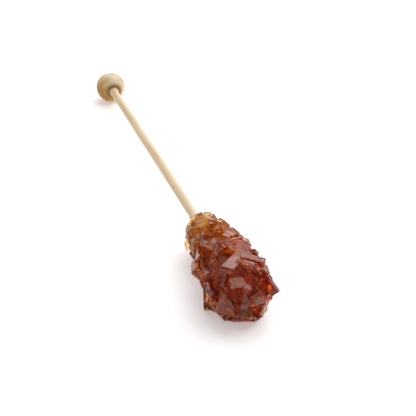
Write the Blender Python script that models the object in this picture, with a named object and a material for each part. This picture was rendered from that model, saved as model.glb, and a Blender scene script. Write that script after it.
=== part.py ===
"""Rock candy stick: amber sugar crystals on one end of a wooden dowel, and a turned wooden ball on the other.

It lies as it does on a table, on the ball and on the underside of the crystals. +X runs along the stick from
the ball to the crystals, +Z is up, and the origin is under the middle of its bounding box. Sizes are in metres.
"""

import math
import random

import bmesh
import bpy
from mathutils import Matrix, Vector

GAP = 0.0003                   # kept between pieces that touch

# Ball
BALL_RADIUS = 0.006
BALL_SEGMENTS, BALL_RINGS = 44, 22
LAND_RADIUS = 0.0033           # the flat round the dowel's hole
SOCKET_DEPTH = 0.0085          # how deep that hole runs, from where the ball's surface would be

# Dowel
STICK_RADIUS = 0.00165
SWELL_RADIUS = 0.00195         # where the dowel is thickest, just outside the ball
SWELL_LENGTH = 0.0032
SWELL_STEPS = 6
WAIST_RADIUS = 0.00152         # pressed a little thinner behind that swelling
WAIST_LENGTH = 0.0060
STICK_SIDES = 28
STICK_CHAMFER = 0.0003

# Sugar, measured along the stick from the ball's centre
SUGAR_START = 0.1140
SUGAR_LENGTH = 0.0450
STICK_STOPS_BEFORE_TIP = 0.010
NECK_RADIUS = 0.0045           # where the crystals begin
HEAD_RADIUS = 0.0087           # at the thickest place
THICKEST_AT = 0.76             # as a share of the sugar's length
CORE_SHARE = 0.70              # the solid core's radius beside the crystals' outer radius
CORE_LENGTH = 0.96             # as a share of the sugar's length
CORE_SIDES = 16
CORE_STEPS = 16

# Crystals
SEED = 21
NECK_CRYSTAL = 0.0032
TIP_CRYSTAL = 0.0074
UNEVENNESS = (0.75, 1.25)      # how far each crystal's size strays from its place's
SPACING = 0.60                 # the area each crystal gets, as a share of its size squared
LAST_CRYSTAL_AT = 0.995        # as a share of the sugar's length
GOLDEN_ANGLE = math.pi * (3 - math.sqrt(5))
LENGTHS = (1.0, 1.45)          # a crystal's proportions, beside its size
WIDTHS = (0.75, 1.0)
THICKNESSES = (0.6, 0.85)
PROUD = (-0.15, 0.30)          # how far its outer face stands off the head's outline, beside its size
FACE_TILT = math.radians(32)   # how far it leans away from standing square on the head
SIDE_OUT = (4, 4, 3)           # how often its thickness, its width or its length points outwards
EDGE_CUTS = (0.80, 0.98)       # where its slanting faces cut, beside the edge or corner they take off
CORNER_CUTS = (0.84, 1.06)

# Sucrose is monoclinic: its cell's sides in angstroms and the angle between a and c
CELL_A, CELL_B, CELL_C = 10.87, 8.71, 7.76
CELL_ANGLE = math.radians(102.9)

# Resting pose
BALL_FLAT = 0.00015            # worn off the ball where it rests
REST_AT = 0.145                # along the stick, where the crystals meet the table
REST_RADIUS = 0.0088           # from the stick's axis down to the table there
TABLE_BLOCK = (0.5, 0.1, 0.02)

def clear_scene():
    for obj in list(bpy.data.objects):
        bpy.data.objects.remove(obj)

def material(name, colour, roughness, transmission=0.0):
    made = bpy.data.materials.new(name)
    made.use_nodes = True
    shader = made.node_tree.nodes["Principled BSDF"]
    shader.inputs["Base Color"].default_value = (*colour, 1)
    shader.inputs["Roughness"].default_value = roughness
    shader.inputs["Metallic"].default_value = 0
    shader.inputs["Transmission Weight"].default_value = transmission
    made.diffuse_color = (*colour, 1)
    return made

def add_object(name, mesh, parent=None, surface=None):
    obj = bpy.data.objects.new(name, mesh)
    bpy.context.scene.collection.objects.link(obj)
    obj.parent = parent
    if surface:
        mesh.materials.append(surface)
    return obj

def mesh_of(bm, name):
    bmesh.ops.recalc_face_normals(bm, faces=bm.faces)
    mesh = bpy.data.meshes.new(name)
    bm.to_mesh(mesh)
    bm.free()
    return mesh

def cutter(name, mesh, parent=None):
    obj = add_object(name, mesh, parent)
    obj.hide_render = True
    obj.display_type = "WIRE"
    return obj

def boolean(obj, operation, other, use_self=False):
    modifier = obj.modifiers.new(f"{operation.title()} {other.name}", "BOOLEAN")
    modifier.operation = operation
    modifier.solver = "EXACT"
    modifier.object = other
    modifier.use_self = use_self

def turned(profile, sides, name):
    """A solid turned about X from (x, radius) points that start and end on the axis."""
    bm = bmesh.new()
    points = [bm.verts.new((x, 0, radius)) for x, radius in profile]
    edges = [bm.edges.new(pair) for pair in zip(points, points[1:])]
    bmesh.ops.spin(
        bm, geom=points + edges, cent=(0, 0, 0), axis=(1, 0, 0), angle=math.tau, steps=sides, use_merge=True
    )
    bmesh.ops.remove_doubles(bm, verts=bm.verts, dist=1e-6)
    return mesh_of(bm, name)

# ---- Wooden ball and dowel ----

LAND_AT = math.sqrt(BALL_RADIUS**2 - LAND_RADIUS**2)
SOCKET_BOTTOM = BALL_RADIUS - SOCKET_DEPTH

def make_ball(pose, wood):
    """The ball's hole and the flat round it are taken off by one turned cutter."""
    bm = bmesh.new()
    bmesh.ops.create_uvsphere(bm, u_segments=BALL_SEGMENTS, v_segments=BALL_RINGS, radius=BALL_RADIUS)
    bm.transform(Matrix.Rotation(math.pi / 2, 4, "Y"))
    ball = add_object("ball", mesh_of(bm, "ball"), pose, wood)
    hole = SWELL_RADIUS + GAP
    clear_of_ball = BALL_RADIUS * 1.5
    profile = [
        (SOCKET_BOTTOM, 0),
        (SOCKET_BOTTOM, hole),
        (LAND_AT, hole),
        (LAND_AT, clear_of_ball),
        (clear_of_ball, clear_of_ball),
        (clear_of_ball, 0),
    ]
    boolean(ball, "DIFFERENCE", cutter("ball_socket", turned(profile, STICK_SIDES, "ball_socket"), pose))
    return ball

def swelling_profile():
    """The dowel's outline where it leaves the ball: swollen, then drawn in to a waist, then at its own size."""
    points = []
    for step in range(SWELL_STEPS + 1):
        share = step / SWELL_STEPS
        ease = (1 + math.cos(math.pi * share)) / 2
        radius = WAIST_RADIUS + (SWELL_RADIUS - WAIST_RADIUS) * ease
        points.append((LAND_AT + SWELL_LENGTH * share, radius))
    points.append((LAND_AT + SWELL_LENGTH + WAIST_LENGTH, STICK_RADIUS))
    return points

def make_stick(pose, wood):
    start = SOCKET_BOTTOM + GAP
    end = SUGAR_START + SUGAR_LENGTH - STICK_STOPS_BEFORE_TIP
    profile = [
        (start, 0),
        (start, SWELL_RADIUS - STICK_CHAMFER),
        (start + STICK_CHAMFER, SWELL_RADIUS),
        *swelling_profile(),
        (end - STICK_CHAMFER, STICK_RADIUS),
        (end, STICK_RADIUS - STICK_CHAMFER),
        (end, 0),
    ]
    return add_object("stick", turned(profile, STICK_SIDES, "stick"), pose, wood)

# ---- Sugar crystals ----

def head_radius(share):
    """The crystals' outer radius at a share of the sugar's length, from the neck to where the tip closes."""
    swell = min(share / THICKEST_AT, 1)
    radius = NECK_RADIUS + (HEAD_RADIUS - NECK_RADIUS) * math.sin(swell * math.pi / 2) ** 1.2
    closing = max(0, (share - THICKEST_AT) / (1 - THICKEST_AT))
    return radius * math.sqrt(max(0, 1 - closing**2.6))

def outward(share):
    """Which way the head's outline faces at that share, as (along the stick, away from it)."""
    step = 0.004
    low, high = max(share - step, 0), min(share + step, 1)
    along = (high - low) * SUGAR_LENGTH
    away = head_radius(high) - head_radius(low)
    return Vector((-away, along)).normalized()

def face_normal(h, k, l):
    """The unit normal of a sucrose crystal's (h k l) face, with the cell's b along Y and c along Z."""
    x = h / (CELL_A * math.sin(CELL_ANGLE)) - l / (CELL_C * math.tan(CELL_ANGLE))
    return Vector((x, k / CELL_B, l / CELL_C)).normalized()

def crystal_faces(width, length, thickness, rng):
    """The (normal, distance) planes of a crystal whose width, length and thickness lie along X, Y and Z."""
    half = Vector((width, length, thickness)) / 2

    def slanting(normal, cuts):
        corner = sum(abs(part) * side for part, side in zip(normal, half))
        return normal, corner * rng.uniform(*cuts)

    planes = []
    for sign in (1, -1):
        planes.append((sign * face_normal(1, 0, 0), half.x))
        planes.append((sign * face_normal(0, 1, 0), half.y))
        planes.append((sign * face_normal(0, 0, 1), half.z))
        planes.append(slanting(sign * face_normal(1, 0, -1), EDGE_CUTS))
        for end in (1, -1):
            planes.append(slanting(face_normal(sign, end, 0), CORNER_CUTS))
            planes.append(slanting(face_normal(0, end, sign), CORNER_CUTS))
    return planes

def add_crystal(bm, placing, faces, reach):
    """Cuts a block that reaches past the crystal back to each face, and adds it to bm where it grows."""
    block = bmesh.new()
    bmesh.ops.create_cube(block, size=2 * reach)
    for normal, distance in faces:
        cut = bmesh.ops.bisect_plane(
            block,
            geom=block.verts[:] + block.edges[:] + block.faces[:],
            dist=1e-7,
            plane_co=normal * distance,
            plane_no=normal,
            clear_outer=True,
        )
        rim = [item for item in cut["geom_cut"] if isinstance(item, bmesh.types.BMEdge)]
        if rim:
            bmesh.ops.contextual_create(block, geom=rim)
    block.transform(placing)
    piece = mesh_of(block, "crystal")
    bm.from_mesh(piece)
    bpy.data.meshes.remove(piece)

def standing(direction, rng):
    """Picks which of a crystal's sides points outwards, and the rotation that turns it along direction."""
    side = rng.choices((Vector((0, 0, 1)), Vector((1, 0, 0)), Vector((0, 1, 0))), SIDE_OUT)[0]
    spin = Matrix.Rotation(rng.uniform(0, math.tau), 3, side)
    turn = side.rotation_difference(direction).to_matrix()
    lean_axis = direction.orthogonal().normalized()
    lean_axis.rotate(Matrix.Rotation(rng.uniform(0, math.tau), 3, direction))
    lean = Matrix.Rotation(rng.uniform(-1, 1) * FACE_TILT, 3, lean_axis)
    return side, lean @ turn @ spin

def crystal_places():
    """Yields (share of the length, angle round the stick, size), along a spiral that suits the sizes."""
    share, turn = 0.0, 0
    while share < LAST_CRYSTAL_AT:
        size = NECK_CRYSTAL + (TIP_CRYSTAL - NECK_CRYSTAL) * share
        yield share, turn * GOLDEN_ANGLE, size
        round_here = math.tau * max(head_radius(share), NECK_RADIUS / 2)
        share += SPACING * size**2 / round_here / SUGAR_LENGTH
        turn += 1

def make_crystals(pose):
    rng = random.Random(SEED)
    bm = bmesh.new()
    for share, angle, size in crystal_places():
        along, away = outward(share)
        ring = Vector((0, math.cos(angle), math.sin(angle)))
        direction = Vector((along, 0, 0)) + ring * away
        size *= rng.uniform(*UNEVENNESS)
        width, length, thickness = (size * rng.uniform(*shares) for shares in (WIDTHS, LENGTHS, THICKNESSES))
        side, turn = standing(direction, rng)
        deep = Vector((width, length, thickness)).dot(side) / 2
        proud = size * rng.uniform(*PROUD)
        foot = Vector((SUGAR_START + share * SUGAR_LENGTH, 0, 0)) + ring * head_radius(share)
        placing = Matrix.Translation(foot + direction * (proud - deep)) @ turn.to_4x4()
        add_crystal(bm, placing, crystal_faces(width, length, thickness, rng), length)
    return cutter("crystals", mesh_of(bm, "crystals"), pose)

def core_profile():
    points = []
    for step in range(CORE_STEPS + 1):
        share = step / CORE_STEPS
        points.append((SUGAR_START + share * SUGAR_LENGTH * CORE_LENGTH, head_radius(share) * CORE_SHARE))
    return [(points[0][0], 0), *points[:-1], (points[-1][0], 0)]

def outer_shell(mesh):
    """Drops everything but the largest connected surface, so that no pocket is left sealed inside."""
    bm = bmesh.new()
    bm.from_mesh(mesh)
    unseen, shells = set(bm.verts), []
    while unseen:
        shell, edge_of_shell = set(), [unseen.pop()]
        while edge_of_shell:
            vert = edge_of_shell.pop()
            shell.add(vert)
            near = {edge.other_vert(vert) for edge in vert.link_edges} & unseen
            unseen -= near
            edge_of_shell.extend(near)
        shells.append(shell)
    shells.sort(key=len)
    for shell in shells[:-1]:
        bmesh.ops.delete(bm, geom=list(shell), context="VERTS")
    bm.to_mesh(mesh)
    bm.free()

def make_sugar(pose, table, sugar_glass):
    grown = add_object("sugar_grown", turned(core_profile(), CORE_SIDES, "sugar_core"), pose)
    boolean(grown, "UNION", make_crystals(pose), use_self=True)
    boolean(grown, "DIFFERENCE", table)
    bore_start = SUGAR_START - TIP_CRYSTAL
    bore_end = SUGAR_START + SUGAR_LENGTH - STICK_STOPS_BEFORE_TIP + GAP
    bore = [(bore_start, 0), (bore_start, STICK_RADIUS + GAP), (bore_end, STICK_RADIUS + GAP), (bore_end, 0)]
    boolean(grown, "DIFFERENCE", cutter("sugar_bore", turned(bore, STICK_SIDES, "sugar_bore"), pose))
    bpy.context.view_layer.update()
    mesh = bpy.data.meshes.new_from_object(grown.evaluated_get(bpy.context.evaluated_depsgraph_get()))
    mesh.name = "sugar_crystals"
    mesh.materials.clear()
    bpy.data.objects.remove(grown)
    outer_shell(mesh)
    return add_object("sugar_crystals", mesh, pose, sugar_glass)

# ---- The whole stick, as it lies ----

def make_pose():
    """The empty that everything hangs on: it lifts the tip so that ball and crystals both meet the table."""
    pose = bpy.data.objects.new("resting_pose", None)
    bpy.context.scene.collection.objects.link(pose)
    ball_height = BALL_RADIUS - BALL_FLAT
    pose.rotation_euler.y = -math.asin((REST_RADIUS - ball_height) / REST_AT)
    pose.location.z = ball_height
    return pose

def make_table():
    """A block whose top is the table, which takes off what would reach below it."""
    bm = bmesh.new()
    bmesh.ops.create_cube(bm, size=1)
    bm.transform(Matrix.Translation((0, 0, -TABLE_BLOCK[2] / 2)) @ Matrix.Diagonal((*TABLE_BLOCK, 1)))
    return cutter("table", mesh_of(bm, "table"))

def centre_over_origin(pose, pieces):
    bpy.context.view_layer.update()
    graph = bpy.context.evaluated_depsgraph_get()
    corners = []
    for piece in pieces:
        shown = piece.evaluated_get(graph)
        corners += [shown.matrix_world @ vert.co for vert in shown.data.vertices]
    for axis in range(2):
        values = [corner[axis] for corner in corners]
        pose.location[axis] -= (min(values) + max(values)) / 2

def main():
    clear_scene()
    ball_wood = material("ball_wood", (0.78, 0.60, 0.36), 0.5)
    stick_wood = material("stick_wood", (0.84, 0.68, 0.44), 0.6)
    sugar_glass = material("amber_sugar", (0.42, 0.13, 0.02), 0.12, transmission=0.6)
    pose = make_pose()
    table = make_table()
    ball = make_ball(pose, ball_wood)
    boolean(ball, "DIFFERENCE", table)
    stick = make_stick(pose, stick_wood)
    sugar = make_sugar(pose, table, sugar_glass)
    centre_over_origin(pose, (ball, stick, sugar))
    for piece in (ball, stick):
        piece.data.shade_smooth()
        piece.data.set_sharp_from_angle(angle=math.radians(30))

main()
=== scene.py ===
"""Looks for the rock candy stick: amber sugar crystals, a birch dowel and a turned wooden ball, on a white floor."""

import math
import random

import bmesh
import bpy
from mathutils import Matrix, Quaternion, Vector, noise
from mathutils.bvhtree import BVHTree


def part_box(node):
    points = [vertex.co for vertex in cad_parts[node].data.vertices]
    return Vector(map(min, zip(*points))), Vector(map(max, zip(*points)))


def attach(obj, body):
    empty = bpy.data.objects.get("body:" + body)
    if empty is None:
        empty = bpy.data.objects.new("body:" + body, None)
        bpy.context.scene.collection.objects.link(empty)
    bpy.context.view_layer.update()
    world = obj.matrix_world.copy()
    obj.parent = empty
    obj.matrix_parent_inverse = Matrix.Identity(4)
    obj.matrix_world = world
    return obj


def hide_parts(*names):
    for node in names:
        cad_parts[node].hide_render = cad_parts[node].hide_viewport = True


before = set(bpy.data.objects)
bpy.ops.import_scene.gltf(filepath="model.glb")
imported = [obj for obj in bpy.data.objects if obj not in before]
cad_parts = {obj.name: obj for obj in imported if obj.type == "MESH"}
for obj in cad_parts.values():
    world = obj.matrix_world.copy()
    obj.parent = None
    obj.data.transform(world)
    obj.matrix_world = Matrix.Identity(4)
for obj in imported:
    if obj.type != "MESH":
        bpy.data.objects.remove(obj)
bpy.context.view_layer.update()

# ---- Sizes, in metres, as in the CAD, along the stick from the ball's centre ----

BALL_RADIUS = 0.006
LAND_RADIUS = 0.0033           # the flat round the dowel's hole
LAND_AT = math.sqrt(BALL_RADIUS**2 - LAND_RADIUS**2)
SOCKET_DEPTH = 0.0085          # how deep that hole runs, from where the ball's surface would be
SOCKET_BOTTOM = BALL_RADIUS - SOCKET_DEPTH
STICK_RADIUS = 0.00165
SWELL_RADIUS, SWELL_LENGTH = 0.00195, 0.0032    # the dowel's thickest place, just outside the ball
WAIST_RADIUS, WAIST_LENGTH = 0.00152, 0.0060    # and a thinner one behind it

SUGAR_START, SUGAR_LENGTH = 0.1140, 0.0450
STICK_STOPS_BEFORE_TIP = 0.010
STICK_END = SUGAR_START + SUGAR_LENGTH - STICK_STOPS_BEFORE_TIP
NECK_RADIUS, HEAD_RADIUS = 0.0045, 0.0087       # where the crystals begin, and at the thickest place
THICKEST_AT = 0.76             # as a share of the sugar's length
SWELL_POWER, CLOSING_POWER = 1.2, 2.6           # how the outline fills out to that place, and rounds off at the tip
CORE_SHARE, CORE_LENGTH = 0.70, 0.96            # the solid core's radius and length, beside the head's
CORE_SIDES, CORE_STEPS = 16, 16

SEED = 21
NECK_CRYSTAL, TIP_CRYSTAL = 0.0032, 0.0074
UNEVENNESS = (0.75, 1.25)      # how far each crystal's size strays from its place's
SPACING = 0.60                 # the area each crystal gets, as a share of its size squared
LAST_CRYSTAL_AT = 0.995        # as a share of the sugar's length
GOLDEN_ANGLE = math.pi * (3 - math.sqrt(5))
LENGTHS, WIDTHS, THICKNESSES = (1.0, 1.45), (0.75, 1.0), (0.6, 0.85)    # a crystal's proportions, beside its size
PROUD = (-0.15, 0.30)          # how far its outer face stands off the head's outline, beside its size
FACE_TILT = math.radians(32)   # how far it leans away from standing square on the head
SIDE_OUT = (4, 4, 3)           # how often its thickness, its width or its length points outwards
EDGE_CUTS, CORNER_CUTS = (0.80, 0.98), (0.84, 1.06)     # where its slanting faces cut
CELL_A, CELL_B, CELL_C, CELL_ANGLE = 10.87, 8.71, 7.76, math.radians(102.9)     # the cell of a sucrose crystal

BALL_FLAT = 0.00015            # worn off the ball where it rests
REST_AT, REST_RADIUS = 0.145, 0.0088            # where the crystals rest, along the stick and down from its axis

# ---- Sizes of what the CAD leaves out ----

BLUNT = 0.00006                # taken off each large crystal's edges

# Younger crystals, seated on the large ones. sizes: at the neck; larger: the share that is added at the tip; dip: how
# far inside the head's outline a seat has to be at the tip; sunk: how deep, for their size; crowding: towards the neck
# when above 1, towards the tip when below 1.
SMALL = dict(seed=3, count=230, sizes=(0.0018, 0.0030), larger=0.40, dip=0.0004, sunk=(-0.05, 0.20), crowding=1.1)
MIDDLING = dict(seed=2, count=56, sizes=(0.0025, 0.0038), larger=0.80, dip=0.0, sunk=(-0.12, 0.12), crowding=0.65)

HEART_WIDTHS = (0.84, 0.66)    # the cloudy heart's share of the crystals' width, at the neck and at the tip
HEART_IN, HEART_LENGTH = 0.0005, 0.93           # how far in it starts, and its share of their length
BALL_STEPS, BALL_SIDES = 44, 72
HOLE_EDGE, HOLE_PLAY = 0.0002, 0.00005          # the hole's chamfer, and its play round the dowel
STICK_STEPS, STICK_SIDES, STICK_CHAMFER = 170, 44, 0.0003
GRAIN_DEPTH = 0.00002
BALL_GRAIN, STICK_GRAIN = (150, 150), (45, 1700)        # how fine the grain is, along X and across it
SMOOTH_BELOW = math.radians(35)

# ---- Where the stick lies ----

ball_low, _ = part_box("ball")
stick_low, stick_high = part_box("stick")
sugar_low, sugar_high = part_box("sugar_crystals")
BALL_CENTRE = Vector((ball_low[0] + BALL_RADIUS, (stick_low[1] + stick_high[1]) / 2, BALL_RADIUS - BALL_FLAT))
TILT = -math.asin((REST_RADIUS - BALL_CENTRE.z) / REST_AT)
POSE = Matrix.Translation(BALL_CENTRE) @ Matrix.Rotation(TILT, 4, "Y")
TABLE_POINT = POSE.inverted() @ Vector((0, 0, 0))
TABLE_DOWN = (POSE.inverted().to_3x3() @ Vector((0, 0, -1))).normalized()

# ---- Camera, light and colours ----

LENS = 85.7
CAMERA_FROM_BALL = Vector((0.3697, -0.0950, 0.1885))
CAMERA_YAW, CAMERA_PITCH, CAMERA_ROLL = 159.16, 33.24, 1.6

DARK_SIDE = Vector((0.87, -0.22, 0.44)).normalized()
DARK_EDGE, ROOM_LIGHT = (0.1, 0.75), (0.8, 0.15)        # where the room darkens, and its strength before and after
KEY_PLACE, KEY_TARGET, KEY_SIZE, KEY_WATTS = (-0.32, 0.50, 0.68), (0.02, 0, 0), (1.2, 1.2), 8.5
FLOOR_WHITE, FLOOR_ROUGHNESS, FLOOR_GLOW = (0.93, 0.93, 0.93, 1), 0.9, 0.33
LIGHT_BOUNCES = 32

# Clear sugar: its tint along the head, what its darker patches multiply that by, and its reflections' tint
CLEAR_NECK, CLEAR_MIDDLE, CLEAR_TIP = (1.0, 0.92, 0.66), (1.0, 0.86, 0.62), (1.0, 0.80, 0.58)
CLEAR_DARK, CLEAR_GLINT = (0.85, 0.62, 0.45), (1, 0.84, 0.7, 1)
CLEAR_ROUGHNESS, CLEAR_IOR = (0.01, 0.06), 1.50
ABSORB_COLOUR, ABSORB_DENSITY = (0.90, 0.50, 0.03), 260

# Cloudy sugar: the same, and how far light scatters in it
HEART_NECK, HEART_UPPER = (1.0, 0.72, 0.07), (1.0, 0.55, 0.03)
HEART_MIDDLE, HEART_TIP = (0.74, 0.26, 0.01), (0.64, 0.16, 0.01)
HEART_PATCH, HEART_GLINT, HEART_ROUGHNESS = (0.42, 0.24, 0.18), (1, 0.5, 0.15, 1), 0.2
SCATTER_RADIUS, SCATTER_SCALE = (1, 0.35, 0.1), 0.0008

# Wood
# The ball's colours, from one side to the other: painted shade on the lower side away from the key light, the wood's
# own colour, a painted highlight on the upper side, and the wood's tone again beyond it.
BALL_PAINTED_SHADE, BALL_WOOD = (0.46, 0.22, 0.04), (0.80, 0.54, 0.24)
BALL_PAINTED_HIGHLIGHT, BALL_BACK = (0.84, 0.73, 0.54), (0.66, 0.45, 0.22)
HOLE_SURROUND_DARK = (0.40, 0.21, 0.05)
PAINTED_LIGHT_SIDE = Vector((-0.11, 0.79, 0.59)).normalized()    # the way the ball's colour turns from painted shade to a painted highlight
STICK_DARK, STICK_WOOD, STICK_PALE = (0.66, 0.46, 0.25), (0.82, 0.65, 0.43), (0.88, 0.76, 0.57)
STICK_WARM, STICK_FLECK = (0.72, 0.53, 0.31), (0.30, 0.18, 0.09)
SPECK_PLACE, SPECK_RADIUS = (0.0885, -0.00130, 0.00100), 0.0003
WOOD_SPECULAR = 0.3

# ---- Camera and light ----

def look_along(yaw, pitch, roll):
    """The rotation, from degrees, of a camera that looks yaw from +X towards +Y and pitch below level."""
    yaw, pitch, roll = map(math.radians, (yaw, pitch, roll))
    ahead = Vector((math.cos(pitch) * math.cos(yaw), math.cos(pitch) * math.sin(yaw), -math.sin(pitch)))
    return Quaternion(ahead, -roll) @ ahead.to_track_quat("-Z", "Y")

def make_camera():
    camera = bpy.data.objects.new("camera", bpy.data.cameras.new("camera"))
    bpy.context.scene.collection.objects.link(camera)
    camera.data.lens = LENS
    camera.data.clip_start = 0.01
    camera.location = BALL_CENTRE + CAMERA_FROM_BALL
    camera.rotation_mode = "QUATERNION"
    camera.rotation_quaternion = look_along(CAMERA_YAW, CAMERA_PITCH, CAMERA_ROLL)
    bpy.context.scene.camera = camera

def make_key_light():
    """A large softbox over the far side."""
    light = bpy.data.objects.new("key_softbox", bpy.data.lights.new("key_softbox", "AREA"))
    bpy.context.scene.collection.objects.link(light)
    light.data.shape = "RECTANGLE"
    light.data.size, light.data.size_y = KEY_SIZE
    light.data.energy = KEY_WATTS
    light.location = KEY_PLACE
    light.rotation_euler = (Vector(KEY_TARGET) - Vector(KEY_PLACE)).to_track_quat("-Z", "Y").to_euler()

def make_room_light():
    """A white room that is dark on one side, so that the sugar has something dark to mirror."""
    world = bpy.data.worlds.new("studio")
    bpy.context.scene.world = world
    world.use_nodes = True
    tree = world.node_tree
    facing = add(tree, "VectorMath")
    facing.operation = "DOT_PRODUCT"
    tree.links.new(tree.nodes.new("ShaderNodeTexCoord").outputs["Generated"], facing.inputs[0])
    facing.inputs[1].default_value = DARK_SIDE
    tree.nodes["Background"].inputs["Color"].default_value = (1, 1, 1, 1)
    bright = ranged(tree, facing.outputs["Value"], *DARK_EDGE, *ROOM_LIGHT)
    tree.links.new(bright, tree.nodes["Background"].inputs["Strength"])

def make_floor():
    bm = bmesh.new()
    bmesh.ops.create_grid(bm, x_segments=1, y_segments=1, size=3)
    mesh = bpy.data.meshes.new("floor")
    bm.to_mesh(mesh)
    bm.free()
    floor = bpy.data.objects.new("floor", mesh)
    bpy.context.scene.collection.objects.link(floor)
    paper, shader = new_material("white_paper")
    shader.inputs["Base Color"].default_value = FLOOR_WHITE
    shader.inputs["Roughness"].default_value = FLOOR_ROUGHNESS
    shader.inputs["Emission Color"].default_value = (1, 1, 1, 1)
    shader.inputs["Emission Strength"].default_value = FLOOR_GLOW
    mesh.materials.append(paper)

# ---- Sugar crystals ----

def head_radius(share):
    """The crystals' outer radius at a share of the sugar's length, from the neck to where the tip closes."""
    swell = min(share / THICKEST_AT, 1)
    radius = NECK_RADIUS + (HEAD_RADIUS - NECK_RADIUS) * math.sin(swell * math.pi / 2) ** SWELL_POWER
    closing = max(0, (share - THICKEST_AT) / (1 - THICKEST_AT))
    return radius * math.sqrt(max(0, 1 - closing**CLOSING_POWER))

def outward(share):
    """Which way the head's outline faces at that share, as (along the stick, away from it)."""
    near = 0.004
    low, high = max(share - near, 0), min(share + near, 1)
    along = (high - low) * SUGAR_LENGTH
    away = head_radius(high) - head_radius(low)
    return Vector((-away, along)).normalized()

def face_normal(h, k, l):
    """The unit normal of a sucrose crystal's (h k l) face, with the cell's b along Y and c along Z."""
    x = h / (CELL_A * math.sin(CELL_ANGLE)) - l / (CELL_C * math.tan(CELL_ANGLE))
    return Vector((x, k / CELL_B, l / CELL_C)).normalized()

def crystal_faces(width, length, thickness, rng):
    """The (normal, distance) planes of a crystal whose width, length and thickness lie along X, Y and Z."""
    half = Vector((width, length, thickness)) / 2

    def slanting(normal, cuts):
        corner = sum(abs(part) * side for part, side in zip(normal, half))
        return normal, corner * rng.uniform(*cuts)

    planes = []
    for sign in (1, -1):
        planes.append((sign * face_normal(1, 0, 0), half.x))
        planes.append((sign * face_normal(0, 1, 0), half.y))
        planes.append((sign * face_normal(0, 0, 1), half.z))
        planes.append(slanting(sign * face_normal(1, 0, -1), EDGE_CUTS))
        for end in (1, -1):
            planes.append(slanting(face_normal(sign, end, 0), CORNER_CUTS))
            planes.append(slanting(face_normal(0, end, sign), CORNER_CUTS))
    return planes

def cut_back(bm, point, normal):
    """Takes off what lies beyond a plane, and closes the cut."""
    everything = bm.verts[:] + bm.edges[:] + bm.faces[:]
    cut = bmesh.ops.bisect_plane(bm, geom=everything, dist=1e-7, plane_co=point, plane_no=normal, clear_outer=True)
    rim = [item for item in cut["geom_cut"] if isinstance(item, bmesh.types.BMEdge)]
    if rim:
        bmesh.ops.contextual_create(bm, geom=rim)

def blunt_edges(bm):
    """Takes a narrow flat off each edge of a convex piece."""
    bmesh.ops.recalc_face_normals(bm, faces=bm.faces)
    flats = []
    for edge in bm.edges:
        out = sum((face.normal for face in edge.link_faces), Vector()).normalized()
        flats.append((edge.verts[0].co - out * BLUNT, out))
    for point, out in flats:
        cut_back(bm, point, out)

def inside_box(verts):
    """Whether a crystal stays inside the CAD's box for the sugar, apart from what the table cuts off below."""
    room = ((sugar_low[0], sugar_high[0]), (sugar_low[1], sugar_high[1]), (-math.inf, sugar_high[2]))
    posed = [POSE @ vert.co for vert in verts]
    return all(low <= at <= high for vert in posed for at, (low, high) in zip(vert, room))

def add_crystal(bm, placing, faces, reach, blunt=False):
    """Cuts a block that reaches past the crystal back to each face, and adds it to bm if it fits the CAD's box."""
    block = bmesh.new()
    bmesh.ops.create_cube(block, size=2 * reach)
    for normal, distance in faces:
        cut_back(block, normal * distance, normal)
    if blunt:
        blunt_edges(block)
    block.transform(placing)
    if not inside_box(block.verts):
        block.free()
        return False
    bmesh.ops.recalc_face_normals(block, faces=block.faces)
    mesh = bpy.data.meshes.new("crystal")
    block.to_mesh(mesh)
    block.free()
    bm.from_mesh(mesh)
    bpy.data.meshes.remove(mesh)
    return True

def standing(direction, rng):
    """Picks which of a crystal's sides points outwards, and the rotation that turns it along direction."""
    side = rng.choices((Vector((0, 0, 1)), Vector((1, 0, 0)), Vector((0, 1, 0))), SIDE_OUT)[0]
    spin = Matrix.Rotation(rng.uniform(0, math.tau), 3, side)
    turn = side.rotation_difference(direction).to_matrix()
    lean_axis = direction.orthogonal().normalized()
    lean_axis.rotate(Matrix.Rotation(rng.uniform(0, math.tau), 3, direction))
    lean = Matrix.Rotation(rng.uniform(-1, 1) * FACE_TILT, 3, lean_axis)
    return side, lean @ turn @ spin

def crystal_places():
    """Yields (share of the length, angle round the stick, size), along a spiral that suits the sizes."""
    share, turn = 0.0, 0
    while share < LAST_CRYSTAL_AT:
        size = NECK_CRYSTAL + (TIP_CRYSTAL - NECK_CRYSTAL) * share
        yield share, turn * GOLDEN_ANGLE, size
        round_here = math.tau * max(head_radius(share), NECK_RADIUS / 2)
        share += SPACING * size**2 / round_here / SUGAR_LENGTH
        turn += 1

def large_crystals(bm):
    """The crystals that the CAD has, drawn in the same order, with their edges blunted."""
    rng = random.Random(SEED)
    for share, angle, size in crystal_places():
        along, away = outward(share)
        ring = Vector((0, math.cos(angle), math.sin(angle)))
        direction = Vector((along, 0, 0)) + ring * away
        size *= rng.uniform(*UNEVENNESS)
        width, length, thickness = (size * rng.uniform(*shares) for shares in (WIDTHS, LENGTHS, THICKNESSES))
        side, turn = standing(direction, rng)
        deep = Vector((width, length, thickness)).dot(side) / 2
        proud = size * rng.uniform(*PROUD)
        foot = Vector((SUGAR_START + share * SUGAR_LENGTH, 0, 0)) + ring * head_radius(share)
        placing = Matrix.Translation(foot + direction * (proud - deep)) @ turn.to_4x4()
        add_crystal(bm, placing, crystal_faces(width, length, thickness, rng), reach=length, blunt=True)

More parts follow.
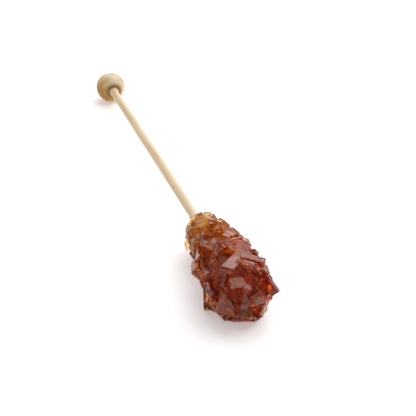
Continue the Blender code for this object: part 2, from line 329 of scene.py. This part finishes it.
def younger_crystals(bm, surface, seed, count, sizes, larger, dip, sunk, crowding):
    """Adds crystals that sit on the surface of the large ones."""
    rng = random.Random(seed)
    placed = 0
    while placed < count:
        share = rng.random() ** crowding
        angle = rng.uniform(0, math.tau)
        ring = Vector((0, math.cos(angle), math.sin(angle)))
        x = SUGAR_START + share * SUGAR_LENGTH
        seat, facing, _, _ = surface.ray_cast(Vector((x, 0, 0)) + ring * 2 * HEAD_RADIUS, -ring)
        below = head_radius(share) - (seat.yz.length if seat else 0)
        if seat is None or seat.yz.length < STICK_RADIUS or below < dip * share:
            continue
        size = rng.uniform(*sizes) * (1 + larger * share)
        width, length, thickness = (size * rng.uniform(*shares) for shares in (WIDTHS, LENGTHS, THICKNESSES))
        side, turn = standing((facing + ring).normalized(), rng)
        placing = Matrix.Translation(seat - facing * size * rng.uniform(*sunk)) @ turn.to_4x4()
        placed += add_crystal(bm, placing, crystal_faces(width, length, thickness, rng), reach=length)

def turned(profile, sides):
    """A solid turned about X from (x, radius) points that start and end on the axis."""
    bm = bmesh.new()
    points = [bm.verts.new((x, 0, radius)) for x, radius in profile]
    edges = [bm.edges.new(pair) for pair in zip(points, points[1:])]
    bmesh.ops.spin(
        bm, geom=points + edges, cent=(0, 0, 0), axis=(1, 0, 0), angle=math.tau, steps=sides, use_merge=True
    )
    bmesh.ops.remove_doubles(bm, verts=bm.verts, dist=1e-6)
    bmesh.ops.recalc_face_normals(bm, faces=bm.faces)
    return bm

def core_profile():
    """The outline of the solid core under the crystals, which follows the head's own."""
    points = []
    for step in range(CORE_STEPS + 1):
        share = step / CORE_STEPS
        points.append((SUGAR_START + share * SUGAR_LENGTH * CORE_LENGTH, head_radius(share) * CORE_SHARE))
    return [(points[0][0], 0), *points[:-1], (points[-1][0], 0)]

def object_of(bm, name):
    mesh = bpy.data.meshes.new(name)
    bm.to_mesh(mesh)
    bm.free()
    obj = bpy.data.objects.new(name, mesh)
    bpy.context.scene.collection.objects.link(obj)
    return obj

def unite(obj, other):
    """Joins the other object's mesh, which may cross itself, into obj's mesh and removes the other object."""
    modifier = obj.modifiers.new("union", "BOOLEAN")
    modifier.operation = "UNION"
    modifier.solver = "EXACT"
    modifier.object = other
    modifier.use_self = True
    bpy.context.view_layer.update()
    result = bpy.data.meshes.new_from_object(obj.evaluated_get(bpy.context.evaluated_depsgraph_get()))
    obj.modifiers.clear()
    obj.data = result
    bpy.data.objects.remove(other)

def drop_pockets(mesh):
    """Drops everything but the largest connected surface, which leaves no pocket sealed inside."""
    bm = bmesh.new()
    bm.from_mesh(mesh)
    unseen, shells = set(bm.verts), []
    while unseen:
        shell, rim = set(), [unseen.pop()]
        while rim:
            vert = rim.pop()
            shell.add(vert)
            near = {edge.other_vert(vert) for edge in vert.link_edges} & unseen
            unseen -= near
            rim.extend(near)
        shells.append(shell)
    shells.sort(key=len)
    for shell in shells[:-1]:
        bmesh.ops.delete(bm, geom=list(shell), context="VERTS")
    bm.to_mesh(mesh)
    bm.free()

def grow_sugar():
    """The grown-together crystals as one closed surface, along X from the ball's centre."""
    bm = bmesh.new()
    large_crystals(bm)
    surface = BVHTree.FromBMesh(bm)
    for kind in (SMALL, MIDDLING):
        younger_crystals(bm, surface, **kind)
    bmesh.ops.recalc_face_normals(bm, faces=bm.faces)
    crystals = object_of(bm, "crystals")
    sugar = object_of(turned(core_profile(), CORE_SIDES), "sugar")
    unite(sugar, crystals)
    drop_pockets(sugar.data)
    return sugar

def heart_of(mesh):
    """The crystals' own shape drawn in towards the dowel, for the cloudy sugar inside."""
    heart = mesh.copy()
    for vert in heart.vertices:
        share = min(max((vert.co.x - SUGAR_START) / SUGAR_LENGTH, 0), 1)
        narrower = HEART_WIDTHS[0] + (HEART_WIDTHS[1] - HEART_WIDTHS[0]) * share
        vert.co.x = SUGAR_START + HEART_IN + (vert.co.x - SUGAR_START) * HEART_LENGTH
        vert.co.y *= narrower
        vert.co.z *= narrower
    heart.name = "sugar_heart"
    return heart

def settle(obj, material, node=None):
    """Lays down a piece made along X, gives it its material, hangs it under the root body, and hides the CAD part that
    it replaces.
    """
    obj.data.transform(POSE)
    obj.data.materials.clear()
    obj.data.materials.append(material)
    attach(obj, "root")
    if node:
        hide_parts(node)

def make_sugar():
    sugar = grow_sugar()
    heart = bpy.data.objects.new("sugar_heart", heart_of(sugar.data))
    bpy.context.scene.collection.objects.link(heart)
    bm = bmesh.new()
    bm.from_mesh(sugar.data)
    cut_back(bm, TABLE_POINT, TABLE_DOWN)
    bmesh.ops.triangulate(bm, faces=bm.faces, ngon_method="BEAUTY")    # or the thinnest faces get split badly later
    bm.to_mesh(sugar.data)
    bm.free()
    settle(sugar, clear_sugar(), "sugar_crystals")
    settle(heart, cloudy_sugar())

# ---- Ball and stick ----

def ball_profile():
    """The ball's outline from its far end round to the bottom of the socket."""
    land_angle = math.asin(LAND_RADIUS / BALL_RADIUS)
    points = [(-BALL_RADIUS, 0)]
    for step in range(1, BALL_STEPS + 1):
        angle = math.pi + (land_angle - math.pi) * step / BALL_STEPS
        points.append((BALL_RADIUS * math.cos(angle), BALL_RADIUS * math.sin(angle)))
    hole = SWELL_RADIUS + HOLE_PLAY
    return [
        *points, (LAND_AT, hole + HOLE_EDGE), (LAND_AT - HOLE_EDGE, hole), (SOCKET_BOTTOM, hole), (SOCKET_BOTTOM, 0)
    ]

def dowel_radius(x):
    """The dowel's radius: swollen where it leaves the ball, drawn in to a waist, then even."""
    if x < LAND_AT + SWELL_LENGTH:
        ease = (1 + math.cos(math.pi * max(x - LAND_AT, 0) / SWELL_LENGTH)) / 2
        return WAIST_RADIUS + (SWELL_RADIUS - WAIST_RADIUS) * ease
    share = min((x - LAND_AT - SWELL_LENGTH) / WAIST_LENGTH, 1)
    return WAIST_RADIUS + (STICK_RADIUS - WAIST_RADIUS) * share

def stick_profile():
    """The dowel's outline from inside the ball to inside the sugar."""
    start, end = SOCKET_BOTTOM + HOLE_EDGE, STICK_END
    points = [(start, 0), (start, SWELL_RADIUS - STICK_CHAMFER), (start + STICK_CHAMFER, SWELL_RADIUS)]
    for step in range(STICK_STEPS + 1):
        x = LAND_AT + (end - STICK_CHAMFER - LAND_AT) * step / STICK_STEPS
        points.append((x, dowel_radius(x)))
    return [*points, (end, STICK_RADIUS - STICK_CHAMFER), (end, 0)]

def roughen(bm, grain):
    """Raises and lowers the surface away from X with a fixed noise, which is the wood's grain."""
    along, across = grain
    for vert in bm.verts:
        out = Vector((0, vert.co.y, vert.co.z))
        if out.length > 0:
            at = Vector((vert.co.x * along, vert.co.y * across, vert.co.z * across))
            vert.co += out.normalized() * noise.noise(at) * GRAIN_DEPTH

def make_wood():
    bm = turned(ball_profile(), BALL_SIDES)
    roughen(bm, BALL_GRAIN)
    cut_back(bm, TABLE_POINT, TABLE_DOWN)
    ball = object_of(bm, "turned_ball")
    bm = turned(stick_profile(), STICK_SIDES)
    roughen(bm, STICK_GRAIN)
    stick = object_of(bm, "dowel")
    settle(ball, ball_wood(), "ball")
    settle(stick, stick_wood(), "stick")
    for obj in (ball, stick):
        for face in obj.data.polygons:
            face.use_smooth = True
        obj.data.set_sharp_from_angle(angle=SMOOTH_BELOW)

# ---- Materials ----

def new_material(name):
    made = bpy.data.materials.new(name)
    made.use_nodes = True
    return made, made.node_tree.nodes["Principled BSDF"]

def add(tree, kind, **sockets):
    """Adds a shader node and fills its sockets, each with a value or with another node's output."""
    node = tree.nodes.new("ShaderNode" + kind)
    for name, value in sockets.items():
        fill(tree, node.inputs[name.replace("_", " ")], value)
    return node

def fill(tree, socket, value):
    if isinstance(value, bpy.types.NodeSocket):
        tree.links.new(value, socket)
    else:
        socket.default_value = value

def along_stick(tree):
    """Coordinates in metres from the ball's centre, with X along the stick."""
    mapping = add(tree, "Mapping", Vector=tree.nodes.new("ShaderNodeTexCoord").outputs["Object"])
    mapping.vector_type = "TEXTURE"
    mapping.inputs["Location"].default_value = BALL_CENTRE
    mapping.inputs["Rotation"].default_value = (0, TILT, 0)
    return mapping.outputs["Vector"]

def stretched(tree, vector, scale):
    return add(tree, "Mapping", Vector=vector, Scale=scale).outputs["Vector"]

def noise_of(tree, vector, scale, detail=3, distortion=0):
    """A 3-D noise over the vector, from 0 to 1."""
    made = add(tree, "TexNoise", Vector=vector, Scale=scale, Detail=detail, Distortion=distortion)
    return made.outputs["Fac"]

def ramp(tree, value, *stops):
    """Colours a value by (position, (r, g, b)) stops."""
    made = add(tree, "ValToRGB", Fac=value)
    elements = made.color_ramp.elements
    while len(elements) < len(stops):
        elements.new(0.5)
    for element, (position, colour) in zip(elements, stops):
        element.position = position
        element.color = (*colour, 1)
    return made.outputs["Color"]

def mixed(tree, share, first, second, blend="MIX"):
    """Mixes two colours, each an (r, g, b) or another node's output."""
    made = tree.nodes.new("ShaderNodeMix")
    made.data_type = "RGBA"
    made.blend_type = blend
    for index, value in ((0, share), (6, first), (7, second)):
        if isinstance(value, tuple) and len(value) == 3:
            value = (*value, 1)
        fill(tree, made.inputs[index], value)
    return made.outputs[2]

def ranged(tree, value, low, high, to_low=0.0, to_high=1.0):
    """Carries a value from one range to another, and stops at the ends."""
    made = add(tree, "MapRange", Value=value)
    for name, number in (("From Min", low), ("From Max", high), ("To Min", to_low), ("To Max", to_high)):
        made.inputs[name].default_value = number
    return made.outputs["Result"]

def bumped(tree, shader, height, strength, distance):
    made = add(tree, "Bump", Height=height, Strength=strength, Distance=distance)
    tree.links.new(made.outputs["Normal"], shader.inputs["Normal"])

def head_share(tree, vector):
    """0 where the sugar starts on the stick, 1 at its tip."""
    x = add(tree, "SeparateXYZ", Vector=vector).outputs["X"]
    return ranged(tree, x, SUGAR_START, SUGAR_START + SUGAR_LENGTH)

def clear_sugar():
    """Glassy sugar with a warm tint that deepens towards the tip, and absorption that browns its thick parts."""
    made, shader = new_material("clear_sugar")
    tree = made.node_tree
    spot = along_stick(tree)
    patches = noise_of(tree, spot, 260, 2)
    tint = ramp(tree, head_share(tree, spot), (0.0, CLEAR_NECK), (0.35, CLEAR_MIDDLE), (1.0, CLEAR_TIP))
    tint = mixed(tree, ranged(tree, patches, 0.4, 0.65, 0.0, 0.5), tint, CLEAR_DARK, "MULTIPLY")
    tree.links.new(tint, shader.inputs["Base Color"])
    frost = ranged(tree, noise_of(tree, spot, 900, 4), 0.35, 0.7, *CLEAR_ROUGHNESS)
    tree.links.new(frost, shader.inputs["Roughness"])
    bumped(tree, shader, noise_of(tree, spot, 700, 3), strength=0.25, distance=0.0002)
    shader.inputs["Specular Tint"].default_value = CLEAR_GLINT
    shader.inputs["IOR"].default_value = CLEAR_IOR
    shader.inputs["Transmission Weight"].default_value = 1.0
    absorb = tree.nodes.new("ShaderNodeVolumeAbsorption")
    absorb.inputs["Color"].default_value = (*ABSORB_COLOUR, 1)
    absorb.inputs["Density"].default_value = ABSORB_DENSITY
    tree.links.new(absorb.outputs["Volume"], tree.nodes["Material Output"].inputs["Volume"])
    return made

def cloudy_sugar():
    """Scattering sugar, golden at the neck and red-brown at the tip, with darker patches."""
    made, shader = new_material("cloudy_sugar")
    tree = made.node_tree
    spot = along_stick(tree)
    patches = noise_of(tree, spot, 300, 4)
    share = head_share(tree, spot)
    colour = ramp(tree, share, (0.0, HEART_NECK), (0.3, HEART_UPPER), (0.55, HEART_MIDDLE), (1.0, HEART_TIP))
    darker = mixed(tree, 1.0, colour, HEART_PATCH, "MULTIPLY")
    tree.links.new(mixed(tree, ranged(tree, patches, 0.35, 0.6), colour, darker), shader.inputs["Base Color"])
    shader.inputs["Roughness"].default_value = HEART_ROUGHNESS
    shader.inputs["Specular Tint"].default_value = HEART_GLINT
    shader.inputs["Subsurface Weight"].default_value = 1.0
    shader.inputs["Subsurface Radius"].default_value = SCATTER_RADIUS
    shader.inputs["Subsurface Scale"].default_value = SCATTER_SCALE
    return made

def ball_wood():
    """Birch with painted shade on the ball's lower side and a painted highlight on its upper side, the change
    wandering with the grain, and darker round the hole.
    """
    made, shader = new_material("ball_wood")
    tree = made.node_tree
    spot = along_stick(tree)
    turned_grain = stretched(tree, spot, (260, 70, 210))
    # painted light: the ball's colour grows paler towards the side the key light falls on
    toward_painted_light = add(tree, "VectorMath", Vector=spot)
    toward_painted_light.operation = "DOT_PRODUCT"
    toward_painted_light.inputs[1].default_value = PAINTED_LIGHT_SIDE / (2 * BALL_RADIUS)
    wander = ranged(tree, noise_of(tree, turned_grain, 1.0, 5, 1.2), 0, 1, -0.35, 0.35)
    painted_light_and_grain = add(tree, "Math", Value=toward_painted_light.outputs["Value"])
    tree.links.new(wander, painted_light_and_grain.inputs[1])
    # painted shade on the lower side and a painted highlight on the upper side, with the wood's grain wandering
    # through them
    shade_highlight_and_grain = ramp(
        tree, ranged(tree, painted_light_and_grain.outputs["Value"], -0.5, 0.5),
        (0.15, BALL_PAINTED_SHADE), (0.45, BALL_WOOD), (0.66, BALL_PAINTED_HIGHLIGHT), (0.95, BALL_BACK)
    )
    from_hole = add(tree, "VectorMath")
    from_hole.operation = "DISTANCE"
    tree.links.new(spot, from_hole.inputs[0])
    from_hole.inputs[1].default_value = (LAND_AT, 0, 0)
    # darker over the flat round the dowel's hole
    near = ranged(tree, from_hole.outputs["Value"], LAND_RADIUS * 0.85, LAND_RADIUS * 1.25, 1.0, 0.0)
    tree.links.new(mixed(tree, near, shade_highlight_and_grain, HOLE_SURROUND_DARK), shader.inputs["Base Color"])
    tree.links.new(ranged(tree, noise_of(tree, spot, 1500), 0.3, 0.7, 0.36, 0.5), shader.inputs["Roughness"])
    bumped(tree, shader, noise_of(tree, turned_grain, 3.0, 4), strength=0.3, distance=0.00004)
    shader.inputs["Specular IOR Level"].default_value = WOOD_SPECULAR
    return made

def stick_wood():
    """Birch with fibres and broader streaks along the dowel, short dark flecks, and one dark speck."""
    made, shader = new_material("stick_wood")
    tree = made.node_tree
    spot = along_stick(tree)
    fibres = noise_of(tree, stretched(tree, spot, (40, 1300, 1300)), 1.0, 5)
    broad = noise_of(tree, stretched(tree, spot, (25, 500, 500)), 1.0, 2)
    colour = ramp(tree, fibres, (0.30, STICK_DARK), (0.52, STICK_WOOD), (0.75, STICK_PALE))
    colour = mixed(tree, ranged(tree, broad, 0.4, 0.7, 0.0, 0.35), colour, STICK_WARM)
    flecks = noise_of(tree, stretched(tree, spot, (350, 3000, 3000)), 1.0, 2)
    colour = mixed(tree, ranged(tree, flecks, 0.72, 0.78, 0.0, 0.5), colour, STICK_FLECK)
    speck = add(tree, "Mapping", Vector=spot, Location=SPECK_PLACE, Scale=(2, 1, 1))
    speck.vector_type = "TEXTURE"
    from_speck = add(tree, "VectorMath", Vector=speck.outputs["Vector"])
    from_speck.operation = "LENGTH"
    dark = ranged(tree, from_speck.outputs["Value"], SPECK_RADIUS * 0.5, SPECK_RADIUS * 1.2, 0.8, 0.0)
    colour = mixed(tree, dark, colour, STICK_FLECK)
    tree.links.new(colour, shader.inputs["Base Color"])
    tree.links.new(ranged(tree, fibres, 0.3, 0.7, 0.42, 0.6), shader.inputs["Roughness"])
    bumped(tree, shader, fibres, strength=0.35, distance=0.00005)
    shader.inputs["Specular IOR Level"].default_value = WOOD_SPECULAR
    return made

# ---- The scene ----

def main():
    scene = bpy.context.scene
    scene.view_settings.view_transform = "Standard"
    scene.cycles.max_bounces = LIGHT_BOUNCES
    scene.cycles.transmission_bounces = LIGHT_BOUNCES
    scene.cycles.transparent_max_bounces = LIGHT_BOUNCES
    make_camera()
    make_room_light()
    make_key_light()
    make_floor()
    make_wood()
    make_sugar()

main()
